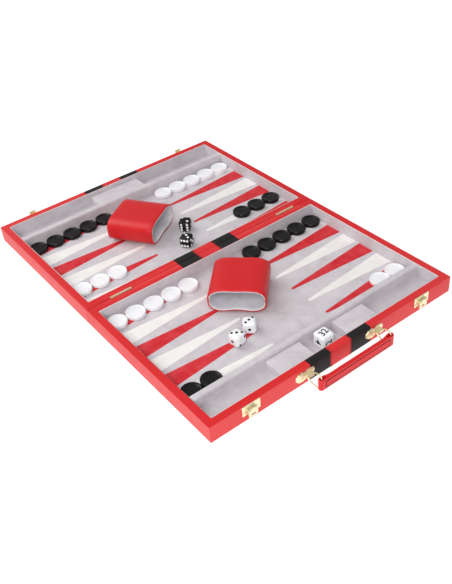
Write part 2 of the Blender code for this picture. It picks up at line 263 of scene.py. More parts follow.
def point_inlay(name, colour, faded, rib, rib_depth, roughness):
    """Thin inlay of a point: fine ribs across it over a soft, uneven dye."""
    finish, nodes, links = start_material(name, colour)

    place = nodes.new("ShaderNodeTexCoord")
    place.label = "position on the board"

    tone = nodes.new("NodeFrame")
    tone.label = "colour"
    uneven = nodes.new("ShaderNodeTexNoise")
    uneven.label = "uneven dye"
    uneven.parent = tone
    uneven.inputs["Scale"].default_value = 90.0
    uneven.inputs["Detail"].default_value = 5.0
    links.new(place.outputs["Object"], uneven.inputs["Vector"])
    shade = nodes.new("ShaderNodeValToRGB")
    shade.label = "full and faded dye"
    shade.parent = tone
    shade.color_ramp.elements[0].position = 0.35
    shade.color_ramp.elements[0].color = colour
    shade.color_ramp.elements[1].position = 0.75
    shade.color_ramp.elements[1].color = faded
    links.new(uneven.outputs["Fac"], shade.inputs["Fac"])

    weave = nodes.new("NodeFrame")
    weave.label = "ribs"
    ribs = nodes.new("ShaderNodeTexWave")
    ribs.label = "ribs across the point"
    ribs.parent = weave
    ribs.bands_direction = "X"
    ribs.inputs["Scale"].default_value = rib
    ribs.inputs["Distortion"].default_value = 0.8
    ribs.inputs["Detail"].default_value = 1.0
    links.new(place.outputs["Object"], ribs.inputs["Vector"])
    threads = nodes.new("ShaderNodeTexNoise")
    threads.label = "threads in the ribs"
    threads.parent = weave
    threads.inputs["Scale"].default_value = 1400.0
    links.new(place.outputs["Object"], threads.inputs["Vector"])
    surface = nodes.new("ShaderNodeMix")
    surface.label = "ribs with threads"
    surface.parent = weave
    surface.inputs["Factor"].default_value = 0.4
    links.new(ribs.outputs["Fac"], surface.inputs["A"])
    links.new(threads.outputs["Fac"], surface.inputs["B"])
    raised = nodes.new("ShaderNodeBump")
    raised.label = "rib height"
    raised.parent = weave
    raised.inputs["Strength"].default_value = rib_depth
    raised.inputs["Distance"].default_value = 0.0002
    links.new(surface.outputs["Result"], raised.inputs["Height"])

    inlay = nodes.new("ShaderNodeBsdfPrincipled")
    inlay.label = "inlay"
    inlay.inputs["Roughness"].default_value = roughness
    inlay.inputs["Specular IOR Level"].default_value = 0.22
    inlay.inputs["Sheen Weight"].default_value = 0.04
    links.new(shade.outputs["Color"], inlay.inputs["Base Color"])
    links.new(raised.outputs["Normal"], inlay.inputs["Normal"])
    out = nodes.new("ShaderNodeOutputMaterial")
    out.label = "point"
    links.new(inlay.outputs["BSDF"], out.inputs["Surface"])
    for node, x, y in (
            (place, -1400, 0), (uneven, -1100, 380), (shade, -850, 380),
            (ribs, -1100, 60), (threads, -1100, -240), (surface, -850, -60),
            (raised, -600, -60), (inlay, -150, 120), (out, 200, 120)):
        node.location = (x, y)
    return finish


def polished(name, colour, swirl, roughness, gloss, glow):
    """Moulded and tumbled plastic of the men and dice."""
    finish, nodes, links = start_material(name, colour)

    place = nodes.new("ShaderNodeTexCoord")
    place.label = "position on the piece"

    tone = nodes.new("NodeFrame")
    tone.label = "colour"
    flow = nodes.new("ShaderNodeTexNoise")
    flow.label = "moulding flow"
    flow.parent = tone
    flow.inputs["Scale"].default_value = 120.0
    flow.inputs["Detail"].default_value = 3.0
    flow.inputs["Distortion"].default_value = 1.5
    links.new(place.outputs["Object"], flow.inputs["Vector"])
    shade = nodes.new("ShaderNodeValToRGB")
    shade.label = "body and flow lines"
    shade.parent = tone
    shade.color_ramp.elements[0].position = 0.40
    shade.color_ramp.elements[0].color = swirl
    shade.color_ramp.elements[1].position = 0.62
    shade.color_ramp.elements[1].color = colour
    links.new(flow.outputs["Fac"], shade.inputs["Fac"])

    wear = nodes.new("NodeFrame")
    wear.label = "polish"
    scuffs = nodes.new("ShaderNodeTexNoise")
    scuffs.label = "tumbling scuffs"
    scuffs.parent = wear
    scuffs.inputs["Scale"].default_value = 700.0
    scuffs.inputs["Detail"].default_value = 6.0
    links.new(place.outputs["Object"], scuffs.inputs["Vector"])
    polish = nodes.new("ShaderNodeMapRange")
    polish.label = "polished to scuffed"
    polish.parent = wear
    polish.inputs["To Min"].default_value = roughness - 0.05
    polish.inputs["To Max"].default_value = roughness + 0.12
    links.new(scuffs.outputs["Fac"], polish.inputs["Value"])
    ripple = nodes.new("ShaderNodeBump")
    ripple.label = "faint ripple of the skin"
    ripple.parent = wear
    ripple.inputs["Strength"].default_value = 0.05
    ripple.inputs["Distance"].default_value = 0.0002
    links.new(flow.outputs["Fac"], ripple.inputs["Height"])

    body = nodes.new("ShaderNodeBsdfPrincipled")
    body.label = "plastic"
    body.inputs["Specular IOR Level"].default_value = gloss
    body.inputs["Coat Weight"].default_value = gloss / 2
    body.inputs["Coat Roughness"].default_value = 0.12
    body.inputs["Subsurface Weight"].default_value = glow
    body.inputs["Subsurface Scale"].default_value = 0.002
    links.new(shade.outputs["Color"], body.inputs["Base Color"])
    links.new(polish.outputs["Result"], body.inputs["Roughness"])
    links.new(ripple.outputs["Normal"], body.inputs["Normal"])
    out = nodes.new("ShaderNodeOutputMaterial")
    out.label = "piece"
    links.new(body.outputs["BSDF"], out.inputs["Surface"])
    for node, x, y in (
            (place, -1400, 0), (flow, -1100, 320), (shade, -850, 320),
            (scuffs, -1100, -60), (polish, -850, -60), (ripple, -600, -240),
            (body, -150, 120), (out, 200, 120)):
        node.location = (x, y)
    return finish


def plated_brass(name, colour, warm, roughness):
    """Bright stamped brass with polishing marks and warmer patches."""
    finish, nodes, links = start_material(name, colour)

    place = nodes.new("ShaderNodeTexCoord")
    place.label = "position on the fitting"

    tone = nodes.new("NodeFrame")
    tone.label = "colour"
    tarnish = nodes.new("ShaderNodeTexNoise")
    tarnish.label = "thin and thick plating"
    tarnish.parent = tone
    tarnish.inputs["Scale"].default_value = 260.0
    tarnish.inputs["Detail"].default_value = 5.0
    links.new(place.outputs["Object"], tarnish.inputs["Vector"])
    shade = nodes.new("ShaderNodeValToRGB")
    shade.label = "warm and pale brass"
    shade.parent = tone
    shade.color_ramp.elements[0].position = 0.34
    shade.color_ramp.elements[0].color = warm
    shade.color_ramp.elements[1].position = 0.60
    shade.color_ramp.elements[1].color = colour
    links.new(tarnish.outputs["Fac"], shade.inputs["Fac"])

    buffing = nodes.new("NodeFrame")
    buffing.label = "buffing"
    stretch = nodes.new("ShaderNodeMapping")
    stretch.label = "buffed along the fitting"
    stretch.parent = buffing
    stretch.inputs["Scale"].default_value = (0.35, 1.0, 3.0)
    links.new(place.outputs["Object"], stretch.inputs["Vector"])
    lines = nodes.new("ShaderNodeTexNoise")
    lines.label = "buffing lines"
    lines.parent = buffing
    lines.inputs["Scale"].default_value = 1300.0
    lines.inputs["Detail"].default_value = 3.0
    links.new(stretch.outputs["Vector"], lines.inputs["Vector"])
    dull = nodes.new("ShaderNodeMapRange")
    dull.label = "bright to brushed"
    dull.parent = buffing
    dull.inputs["To Min"].default_value = roughness - 0.08
    dull.inputs["To Max"].default_value = roughness + 0.12
    links.new(lines.outputs["Fac"], dull.inputs["Value"])
    scored = nodes.new("ShaderNodeBump")
    scored.label = "scored skin"
    scored.parent = buffing
    scored.inputs["Strength"].default_value = 0.12
    scored.inputs["Distance"].default_value = 0.0001
    links.new(lines.outputs["Fac"], scored.inputs["Height"])

    metal = nodes.new("ShaderNodeBsdfPrincipled")
    metal.label = "brass"
    metal.inputs["Metallic"].default_value = 0.78
    links.new(shade.outputs["Color"], metal.inputs["Base Color"])
    links.new(dull.outputs["Result"], metal.inputs["Roughness"])
    links.new(scored.outputs["Normal"], metal.inputs["Normal"])
    out = nodes.new("ShaderNodeOutputMaterial")
    out.label = "fitting"
    links.new(metal.outputs["BSDF"], out.inputs["Surface"])
    for node, x, y in (
            (place, -1400, 0), (tarnish, -1100, 360), (shade, -850, 360),
            (stretch, -1100, -40), (lines, -850, -40), (dull, -600, 20),
            (scored, -600, -220), (metal, -150, 120), (out, 200, 120)):
        node.location = (x, y)
    return finish


def thread(name, colour, dark):
    """Twisted sewing thread, also the pale piping of rims and cups."""
    finish, nodes, links = start_material(name, colour)

    place = nodes.new("ShaderNodeTexCoord")
    place.label = "position on the thread"
    twist = nodes.new("ShaderNodeTexWave")
    twist.label = "twist of the plies"
    twist.bands_direction = "DIAGONAL"
    twist.inputs["Scale"].default_value = 420.0
    twist.inputs["Distortion"].default_value = 1.2
    links.new(place.outputs["Object"], twist.inputs["Vector"])
    shade = nodes.new("ShaderNodeValToRGB")
    shade.label = "lit and shaded plies"
    shade.color_ramp.elements[0].position = 0.15
    shade.color_ramp.elements[0].color = dark
    shade.color_ramp.elements[1].position = 0.60
    shade.color_ramp.elements[1].color = colour
    links.new(twist.outputs["Fac"], shade.inputs["Fac"])
    round_ply = nodes.new("ShaderNodeBump")
    round_ply.label = "round plies"
    round_ply.inputs["Strength"].default_value = 0.4
    round_ply.inputs["Distance"].default_value = 0.0001
    links.new(twist.outputs["Fac"], round_ply.inputs["Height"])
    strand = nodes.new("ShaderNodeBsdfPrincipled")
    strand.label = "thread"
    strand.inputs["Roughness"].default_value = 0.7
    links.new(shade.outputs["Color"], strand.inputs["Base Color"])
    links.new(round_ply.outputs["Normal"], strand.inputs["Normal"])
    out = nodes.new("ShaderNodeOutputMaterial")
    out.label = "stitch"
    links.new(strand.outputs["BSDF"], out.inputs["Surface"])
    for node, x, y in (
            (place, -1200, 0), (twist, -950, 120), (shade, -700, 200),
            (round_ply, -700, -80), (strand, -300, 120), (out, 50, 120)):
        node.location = (x, y)
    return finish


RED = leatherette("red_leatherette", (0.70, 0.010, 0.014, 1), (0.80, 0.07, 0.07, 1),
                  0.44, 620.0, 0.38, 0.04)
RED_CUP = leatherette("red_cup_leatherette", (0.68, 0.012, 0.016, 1),
                      (0.76, 0.06, 0.06, 1), 0.38, 900.0, 0.32, 0.08)
BLACK = leatherette("black_leatherette", (0.007, 0.006, 0.0065, 1),
                    (0.05, 0.05, 0.05, 1), 0.42, 620.0, 0.16, 0.0)
FELT = felt("grey_felt", (0.675, 0.635, 0.665, 1), (0.515, 0.478, 0.505, 1), 0.55)
CUP_FELT = felt("cup_felt", (0.88, 0.86, 0.90, 1), (0.58, 0.56, 0.60, 1), 0.9)
POINT_RED = point_inlay("point_red", (0.62, 0.012, 0.022, 1), (0.70, 0.05, 0.06, 1),
                        620.0, 0.55, 0.55)
POINT_WHITE = point_inlay("point_white", (0.84, 0.81, 0.79, 1), (0.90, 0.88, 0.86, 1),
                          900.0, 0.12, 0.5)
WHITE = polished("white_plastic", (0.93, 0.93, 0.95, 1), (0.90, 0.90, 0.93, 1),
                 0.26, 0.5, 0.06)
JET = polished("black_plastic", (0.005, 0.0045, 0.005, 1), (0.008, 0.007, 0.008, 1),
               0.16, 0.20, 0.0)
INK = polished("pip_black", (0.006, 0.006, 0.007, 1), (0.010, 0.010, 0.010, 1),
               0.40, 0.15, 0.0)
PIP_WHITE = polished("pip_white", (0.92, 0.92, 0.92, 1), (0.88, 0.88, 0.88, 1),
                     0.40, 0.4, 0.0)
BRASS = plated_brass("plated_brass", (0.95, 0.90, 0.66, 1), (0.90, 0.78, 0.45, 1), 0.36)
STEEL = plated_brass("screw_head", (0.70, 0.68, 0.64, 1), (0.50, 0.47, 0.42, 1), 0.34)
PIPING = thread("pale_piping", (0.86, 0.85, 0.84, 1), (0.72, 0.70, 0.69, 1))
RED_THREAD = thread("red_thread", (0.30, 0.006, 0.009, 1), (0.14, 0.003, 0.004, 1))
# dark thread of the welt cords; also painted shade, as the near-black sheet in the
# grip's groove
DARK_THREAD_AND_SHADE = thread("dark_thread_and_painted_shade", (0.06, 0.010, 0.012, 1), (0.02, 0.004, 0.004, 1))


# ---- mesh helpers ----
def add_object(name, data):
    made = bpy.data.objects.new(name, data)
    scene.collection.objects.link(made)
    return made


def applied(piece):
    """Mesh of an object with its modifiers applied."""
    bpy.context.view_layer.update()
    graph = bpy.context.evaluated_depsgraph_get()
    return bpy.data.meshes.new_from_object(piece.evaluated_get(graph))


def settle(name, bm, finishes, body, at=None, smooth=35):
    """Make a piece from a bmesh drawn about the hinge line, and let it ride."""
    bmesh.ops.recalc_face_normals(bm, faces=bm.faces[:])
    mesh = bpy.data.meshes.new(name)
    bm.to_mesh(mesh)
    bm.free()
    for finish in finishes if isinstance(finishes, tuple) else (finishes,):
        mesh.materials.append(finish)
    if smooth:
        mesh.shade_smooth()
        mesh.set_sharp_from_angle(angle=math.radians(smooth))
    piece = add_object(name, mesh)
    piece.matrix_world = at if at else Matrix.Translation((0, HINGE_Y, 0))
    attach(piece, body)
    return piece


def rounded(piece, width, segments, angle=40):
    """Roll the sharp edges of a piece."""
    step = piece.modifiers.new("rolled edges", "BEVEL")
    step.width = width
    step.segments = segments
    step.limit_method = "ANGLE"
    step.angle_limit = math.radians(angle)
    step.harden_normals = False


def roll_edges(bm, edges, width, segments, profile=0.5):
    bmesh.ops.bevel(bm, geom=edges, offset=width, segments=segments, profile=profile,
                    affect="EDGES")


def arc(x, y, radius_x, radius_y, start, sweep, steps):
    """Points along an elliptical arc; angles in degrees."""
    angles = [math.radians(start + sweep * k / steps) for k in range(steps + 1)]
    return [(x + radius_x * math.cos(a), y + radius_y * math.sin(a)) for a in angles]


def add_box(bm, low, high):
    centre = [(a + b) / 2 for a, b in zip(low, high)]
    size = [b - a for a, b in zip(low, high)]
    made = bmesh.ops.create_cube(bm, size=1.0)
    bmesh.ops.scale(bm, vec=size, verts=made["verts"])
    bmesh.ops.translate(bm, vec=centre, verts=made["verts"])


def add_prism(bm, outline, direction):
    """Outline drawn out along a direction."""
    low = [bm.verts.new(p) for p in outline]
    high = [bm.verts.new(Vector(p) + Vector(direction)) for p in outline]
    bm.faces.new(low[::-1])
    bm.faces.new(high)
    for i in range(len(outline)):
        j = (i + 1) % len(outline)
        bm.faces.new((low[i], low[j], high[j], high[i]))


def add_tube(bm, path, radius, sides=8, closed=False):
    """Round cord along a list of points."""
    count = len(path)
    rings = []
    for i, point in enumerate(path):
        before = path[(i - 1) % count] if closed or i > 0 else path[0]
        after = path[(i + 1) % count] if closed or i < count - 1 else path[-1]
        along = (Vector(after) - Vector(before)).normalized()
        spin = along.to_track_quat("Z", "Y")
        ring = []
        for k in range(sides):
            a = 2 * math.pi * k / sides
            off = spin @ Vector((math.cos(a) * radius, math.sin(a) * radius, 0))
            ring.append(bm.verts.new(Vector(point) + off))
        rings.append(ring)
    pairs = list(zip(rings, rings[1:] + rings[:1] if closed else rings[1:]))
    for one, two in pairs:
        shift = 0
        if closed and one is rings[-1]:
            shift = min(range(sides), key=lambda s: (two[s].co - one[0].co).length)
        for k in range(sides):
            m = (k + 1) % sides
            bm.faces.new((one[k], one[m], two[(m + shift) % sides],
                          two[(k + shift) % sides]))
    if not closed:
        bm.faces.new(rings[0][::-1])
        bm.faces.new(rings[-1])


def add_lathe(bm, profile, sides):
    rings = []
    for r, z in profile:
        if r == 0:
            rings.append([bm.verts.new((0, 0, z))])
            continue
        rings.append([bm.verts.new((r * math.cos(2 * math.pi * k / sides),
                                    r * math.sin(2 * math.pi * k / sides), z))
                      for k in range(sides)])
    for lower, upper in zip(rings, rings[1:]):
        for k in range(sides):
            m = (k + 1) % sides
            if len(lower) == 1:
                bm.faces.new((lower[0], upper[m], upper[k]))
            elif len(upper) == 1:
                bm.faces.new((lower[k], lower[m], upper[0]))
            else:
                bm.faces.new((lower[k], lower[m], upper[m], upper[k]))


def add_loft(bm, rings, ends=True):
    """Skin through a run of rings: capped, or closed on itself without ends."""
    made = [[bm.verts.new(p) for p in ring] for ring in rings]
    n = len(made[0])
    for one, two in zip(made, made[1:] + ([] if ends else made[:1])):
        for k in range(n):
            m = (k + 1) % n
            bm.faces.new((one[k], one[m], two[m], two[k]))
    if ends:
        bm.faces.new(made[0])
        bm.faces.new(made[-1][::-1])


def strip(side, x0, x1, near, far, low, high):
    """Corners of a box given by distances from the hinge line."""
    ys = sorted((side * near, side * far))
    return (x0, ys[0], low), (x1, ys[1], high)


def cut_with(piece, bm, ink=False):
    """Cut a bmesh from a piece; with ink, the cut takes the second finish."""
    bmesh.ops.recalc_face_normals(bm, faces=bm.faces[:])
    mesh = bpy.data.meshes.new("cutter")
    if ink:
        for face in bm.faces:
            face.material_index = 1
    bm.to_mesh(mesh)
    bm.free()
    cutter = add_object("cutter", mesh)
    cutter.matrix_world = piece.matrix_world
    step = piece.modifiers.new("cut", "BOOLEAN")
    step.operation = "DIFFERENCE"
    step.solver = "EXACT"
    step.object = cutter
    made = applied(piece)
    piece.modifiers.clear()
    piece.data = made
    bpy.data.objects.remove(cutter, do_unlink=True)


# ---- trays ----
BOARD_LOW = 0.0022  # underside panel below the felt board
SIDES = (("front", -1, "front_tray"), ("rear", 1, "rear_tray"))
HINGES = [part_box("hinge_leaf_front_" + hand) for hand in ("left", "right")]
POCKETS = ((0.0022, 0.0206), (0.0016, 0.0084))  # depth and sill of each step
LINING_T = 0.0005
LINING_GAP = 0.00005  # lining stands this far into the wall
PIPING_SINK, PIPING_Z, PIPING_R = 0.0001, 0.0230, 0.00045
PIPING_CORNER = 0.0012
POINT_TIP, POINT_TIP_HALF, POINT_BASE_HALF = 0.0430, 0.0021, 0.0130
POINT_T = 0.00032
GAP = 0.0001  # left between neighbours, or sunk into them
DIVIDER_ROLL, BLOCK_ROLL = 0.0030, 0.0020
BLOCKS = {"front": ((-0.0775, -0.0260), (0.0260, 0.0775)),
          "rear": ((-0.0430, 0.0410),)}

for half, side, body in SIDES:
    # covered box with a pocket, mitred at the rim
    bm = bmesh.new()
    y0, y1 = side * SEAM, side * HALF_D
    p0, p1 = side * HINGE_WALL, side * IN_FAR
    outer = [(-HALF_W, y0), (HALF_W, y0), (HALF_W, y1), (-HALF_W, y1)]
    inner = [(-IN_X, p0), (IN_X, p0), (IN_X, p1), (-IN_X, p1)]
    add_loft(bm, [[(a, b, z) for a, b in ring] for ring, z in (
        (outer, 0), (outer, RIM_TOP), (inner, RIM_TOP), (inner, BOARD_LOW))])
    shell = settle(f"{half}_tray_shell", bm, RED, body)
    for low, high in HINGES:
        for depth, sill in POCKETS:
            bm = bmesh.new()
            add_box(bm, *strip(side, low.x - 0.0005, high.x + 0.0005, -0.001, depth,
                               sill, 0.03))
            cut_with(shell, bm)
    rounded(shell, 0.0010, 3)
    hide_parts(f"tray_{half}_frame")

    # felt board in the well
    bm = bmesh.new()
    add_box(bm, *strip(side, -IN_X + GAP, IN_X - GAP, HINGE_WALL + GAP, IN_FAR - GAP,
                       BOARD_LOW + GAP, FELT_TOP))
    board = settle(f"{half}_felt_board", bm, FELT, body)
    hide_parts(f"tray_{half}_base")

    # felt lining of the four walls, with its top edge rolled over
    bm = bmesh.new()
    loops = []
    for inset, z in ((0, FELT_TOP - 0.0002), (0, 0.0222), (0.0001, 0.0226),
                     (LINING_T * 0.5, 0.0228), (LINING_T * 0.9, 0.0226),
                     (LINING_T, 0.0221), (LINING_T, FELT_TOP - 0.0002)):
        inset -= LINING_GAP
        loops.append([(sx * (IN_X - inset), side * d, z)
                      for sx, d in ((-1, HINGE_WALL + inset), (1, HINGE_WALL + inset),
                                    (1, IN_FAR - inset), (-1, IN_FAR - inset))])
    add_loft(bm, loops, ends=False)
    settle(f"{half}_wall_lining", bm, FELT, body)

    # pale cut edge between lining and rim
    bm = bmesh.new()
    corners = []
    for sx, sy, px, py in ((-1, -1, -IN_X, HINGE_WALL), (1, -1, IN_X, HINGE_WALL),
                           (1, 1, IN_X, IN_FAR), (-1, 1, -IN_X, IN_FAR)):
        corners.append(Vector((px - sx * PIPING_SINK, side * (py - sy * PIPING_SINK),
                               PIPING_Z)))
    path = []
    for k, here in enumerate(corners):
        for toward in (corners[k - 1], corners[(k + 1) % 4]):
            path.append(here + (toward - here).normalized() * PIPING_CORNER)
    add_tube(bm, path, PIPING_R, 8, closed=True)
    settle(f"{half}_rim_piping", bm, PIPING, body)

    # points
    for colour, finish, first in (("red", POINT_RED, 0), ("white", POINT_WHITE, 1)):
        bm = bmesh.new()
        start = first if side < 0 else 1 - first
        for row in range(6):
            y = side * (POINT_FIRST + POINT_STEP * row)
            hand = -1 if row % 2 == start else 1
            base = IN_X - 0.0006
            outline = [(base, -POINT_BASE_HALF), (base, POINT_BASE_HALF)]
            outline += arc(POINT_TIP + POINT_TIP_HALF, 0, -POINT_TIP_HALF,
                           POINT_TIP_HALF, 90, -180, 8)
            add_prism(bm, [(hand * u, y + v, FELT_TOP - GAP) for u, v in outline],
                      (0, 0, POINT_T))
        inlay = settle(f"{half}_points_{colour}", bm, finish, body)
        rounded(inlay, 0.00010, 2)

    # divider and blocks
    bm = bmesh.new()
    add_box(bm, *strip(side, -IN_X + LINING_T, IN_X - LINING_T, DIVIDER_NEAR,
                       DIVIDER_NEAR + DIVIDER_T, FELT_TOP, DIVIDER_CORNER.z))
    top = [e for e in bm.edges if all(v.co.z > 0.02 for v in e.verts)
           and abs(e.verts[0].co.x - e.verts[1].co.x) > 0.1]
    roll_edges(bm, top, DIVIDER_ROLL, 6)
    bar = settle(f"{half}_divider_bar", bm, FELT, body)
    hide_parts(f"{half}_divider")
    for number, (x0, x1) in enumerate(BLOCKS[half], 1):
        bm = bmesh.new()
        add_box(bm, *strip(side, x0, x1, DIVIDER_NEAR + DIVIDER_T + GAP,
                           IN_FAR - 0.0004, FELT_TOP, BLOCK_TOP))
        top = [e for e in bm.edges if all(v.co.z > 0.015 for v in e.verts)]
        roll_edges(bm, top, BLOCK_ROLL, 5)
        settle(f"{half}_block_{number}", bm, FELT, body)


# ---- bands round each half ----
def band_path(lift):
    """Outline of one half in section, from one rim's inner edge round to the
    other's, lifted off the covering; distances from the hinge line."""
    near, far = SEAM - lift, HALF_D + lift
    low, high = -lift, RIM_TOP + lift
    roll = 0.0012
    corners = ((IN_FAR + 0.0006, high), (far, high), (far, low), (near, low),
               (near, high), (HINGE_WALL - 0.0006, high))
    points = [(IN_FAR + 0.0004, high - 0.0004), corners[0]]
    for k in range(1, 5):
        before, here, after = corners[k - 1], corners[k], corners[k + 1]
        a = Vector(before) - Vector(here)
        b = Vector(after) - Vector(here)
        a, b = a.normalized() * roll, b.normalized() * roll
        centre = Vector(here) + a + b
        for step in range(6):
            turn = math.pi / 2 * step / 5
            points.append(tuple(centre - b * math.cos(turn) - a * math.sin(turn)))
    points += [corners[5], (HINGE_WALL - 0.0004, high - 0.0004)]
    return points


def band(name, side, x0, x1, lift, finish, body):
    bm = bmesh.new()
    outside, inside = band_path(lift), band_path(-0.0002)
    edge = 0.00025
    rows = []
    for x, path in ((x0, inside), (x0, band_path(lift - edge)), (x0 + edge, outside),
                    (x1 - edge, outside), (x1, band_path(lift - edge)), (x1, inside)):
        rows.append([bm.verts.new((x, side * d, z)) for d, z in path])
    n = len(outside)
    for one, two in zip(rows, rows[1:] + rows[:1]):
        for k in range(n - 1):
            bm.faces.new((one[k], one[k + 1], two[k + 1], two[k]))
    bm.faces.new([row[0] for row in rows])
    bm.faces.new([row[-1] for row in rows][::-1])
    settle(name, bm, finish, body)


def along_path(path, pitch, start=0.0):
    """Points and directions at even spacing along a broken line."""
    out, left = [], start
    for a, b in zip(path, path[1:]):
        a, b = Vector(a), Vector(b)
        length = (b - a).length
        while left < length:
            out.append((a + (b - a) * (left / length), (b - a).normalized()))
            left += pitch
        left -= length
    return out


def stitches(name, spots, finish, body, length=0.0020, radius=0.00022):
    """A row of short sunk stitches at (point, direction) pairs."""
    bm = bmesh.new()
    for point, along in spots:
        half_stitch = along * (length / 2)
        path = [point + half_stitch * share for share in (-1, -0.6, 0.6, 1)]
        add_tube(bm, path, radius, 6)
    settle(name, bm, finish, body)


BLACK_LIFT, RED_LIFT = 0.00030, 0.00045  # how far the bands stand proud
BAND_PITCH, GRIP_PITCH = 0.0030, 0.0026  # from stitch to stitch
WELT_R = 0.00036
WELT_IN = 0.0014  # from the red band's edge to its seam
for half, side, body in SIDES:
    for hand, x0, x1 in (("left", -BAND_OUT, -BAND_IN), ("right", BAND_IN, BAND_OUT)):
        band(f"{half}_band_{hand}", side, x0, x1, BLACK_LIFT, BLACK, body)
    band(f"{half}_band_middle", side, -BAND_IN + GAP, BAND_IN - GAP, RED_LIFT,
         RED, body)
    seam = band_path(RED_LIFT + 0.00005)
    for hand, x in (("left", -BAND_IN + WELT_IN), ("right", BAND_IN - WELT_IN)):
        spots = [(Vector((x, side * p.x, p.y)), Vector((0, side * d.x, d.y)))
                 for p, d in along_path(seam, BAND_PITCH, 0.001)]
        stitches(f"{half}_band_stitch_{hand}", spots, RED_THREAD, body)
        bm = bmesh.new()
        groove_line = band_path(RED_LIFT + 0.00001)
        add_tube(bm, [(x, side * d, z) for d, z in groove_line], WELT_R, 6)
        settle(f"{half}_band_welt_{hand}", bm, DARK_THREAD_AND_SHADE, body)


# ---- brass fittings ----
PLATE_OUT = HALF_D + 0.0012  # outer face of the latch plates
LATCHES = (("left", -0.1345), ("right", 0.1355))
BRACKETS = (("left", -0.0515), ("right", 0.0585))
LATCH_SCREW_R, BRACKET_SCREW_R = 0.0018, 0.0020
EAR_RISE, KNUCKLE_RISE = 0.0034, 0.0018  # heights of a bracket's two lobes
FITTINGS = ("hinge_leaf", "latch_", "catch_", "handle_bracket", "handle_ring")
for name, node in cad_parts.items():
    if name.startswith(FITTINGS):
        node.data.materials.clear()
        node.data.materials.append(BRASS)
        if not name.startswith("handle_ring"):
            rounded(node, 0.00018, 2, 30)


def screw_head(name, x, z, out, radius, finish, body):
    """Domed slotted head standing on a fitting; out is its foot's distance."""
    bm = bmesh.new()
    add_lathe(bm, [(0, -0.0002), (radius, -0.0002), (radius, 0.0002),
                   (radius * 0.86, 0.00040), (radius * 0.55, 0.00055), (0, 0.00060)], 28)
    at = Matrix.Translation((x, HINGE_Y - out, z)) @ Matrix.Rotation(math.pi / 2, 4, "X")
    head = settle(name, bm, finish, body, at, 30)
    bm = bmesh.new()
    slot_l, slot_w = radius * 1.2, radius * 0.16
    add_box(bm, (-slot_l, -slot_w, 0.00025), (slot_l, slot_w, 0.002))
    cut_with(head, bm)


def lobe(bm, x, z, radius, stretch, height, scallops):
    """Pillow-shaped lobe of a casting, its edge cut into shallow scallops."""
    steps = 64
    profile = ((1.0, 0.0), (1.0, 0.30), (0.96, 0.50), (0.86, 0.72), (0.70, 0.87),
               (0.48, 0.96), (0.22, 1.0))
    foot = -HALF_D - 0.0001
    rings = []
    for share, rise in profile:
        ring = []
        for k in range(steps):
            a = 2 * math.pi * k / steps
            r = radius * share * (1 - 0.055 * share ** 3 * (1 - math.cos(scallops * a)))
            ring.append((x + r * stretch * math.cos(a), foot - height * rise,
                         z + r * math.sin(a)))
        rings.append(ring)
    add_loft(bm, rings)


for hand, x in LATCHES:
    for where, shift, z, finish in (("side", -0.0098, 0.0132, BRASS),
                                    ("top", 0.0012, 0.0208, STEEL)):
        screw_head(f"latch_screw_{hand}_{where}", x + shift, z, PLATE_OUT + 0.0004,
                   LATCH_SCREW_R, finish, "front_tray")
for hand, x in BRACKETS:
    bm = bmesh.new()
    lobe(bm, x - 0.0108, 0.0134, 0.0069, 1.32, EAR_RISE, 9)
    lobe(bm, x + 0.0042, 0.0146, 0.0056, 1.0, KNUCKLE_RISE, 7)
    settle(f"bracket_lobes_{hand}", bm, BRASS, "front_tray", None, 50)
    screw_head(f"bracket_screw_{hand}", x - 0.0118, 0.0134, HALF_D + EAR_RISE,
               BRACKET_SCREW_R, BRASS, "front_tray")


# ---- grip ----
GRIP_LOW, GRIP_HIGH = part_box("handle_grip")
GRIP_OUT = GRIP_LOW.y - HINGE_Y  # outer face
EYE_X, EYE_Y = 0.0018, 0.0019  # hole in each loop for the wire ring
LOOP_R = 0.0038  # folded loops at the strap's ends
LOOP_DEPTH = 0.0036
STRAP_IN = -0.2812  # inner face between the loops
NECK_START, NECK_L = 0.0010, 0.0125
LOOPS = ((GRIP_LOW.x + LOOP_R, -1), (GRIP_HIGH.x - LOOP_R, 1))


def grip_outline():
    """Plan of the strap with its two folded loops."""
    mid = GRIP_OUT + LOOP_R
    points = []
    for (x, way), start in ((LOOPS[1], -90), (LOOPS[0], 85)):
        loop = arc(x, mid, LOOP_R, LOOP_DEPTH, start, 185, 14)
        neck = []
        for k in range(9):
            s = k / 8
            ease = s * s * (3 - 2 * s)
            neck.append((x - way * NECK_START - way * NECK_L * s,
                         (mid + LOOP_DEPTH) * (1 - ease) + STRAP_IN * ease))
        points += loop + neck if way > 0 else neck[::-1] + loop
    return points


bm = bmesh.new()
add_prism(bm, [(x, y, GRIP_LOW.z) for x, y in grip_outline()],
          (0, 0, GRIP_HIGH.z - GRIP_LOW.z))
grip = settle("grip_strap", bm, RED, "handle")
for x, way in LOOPS:
    bm = bmesh.new()
    eye = arc(x, GRIP_OUT + LOOP_DEPTH, way * EYE_X, EYE_Y, -90, 180, 12)
    eye += [(x - way * 0.0075, GRIP_OUT + 0.0040), (x - way * 0.0075, GRIP_OUT + 0.0034)]
    add_prism(bm, [(u, v, -0.01) for u, v in eye], (0, 0, 0.05))
    cut_with(grip, bm)
rounded(grip, 0.0006, 3, 50)
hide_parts("handle_grip")
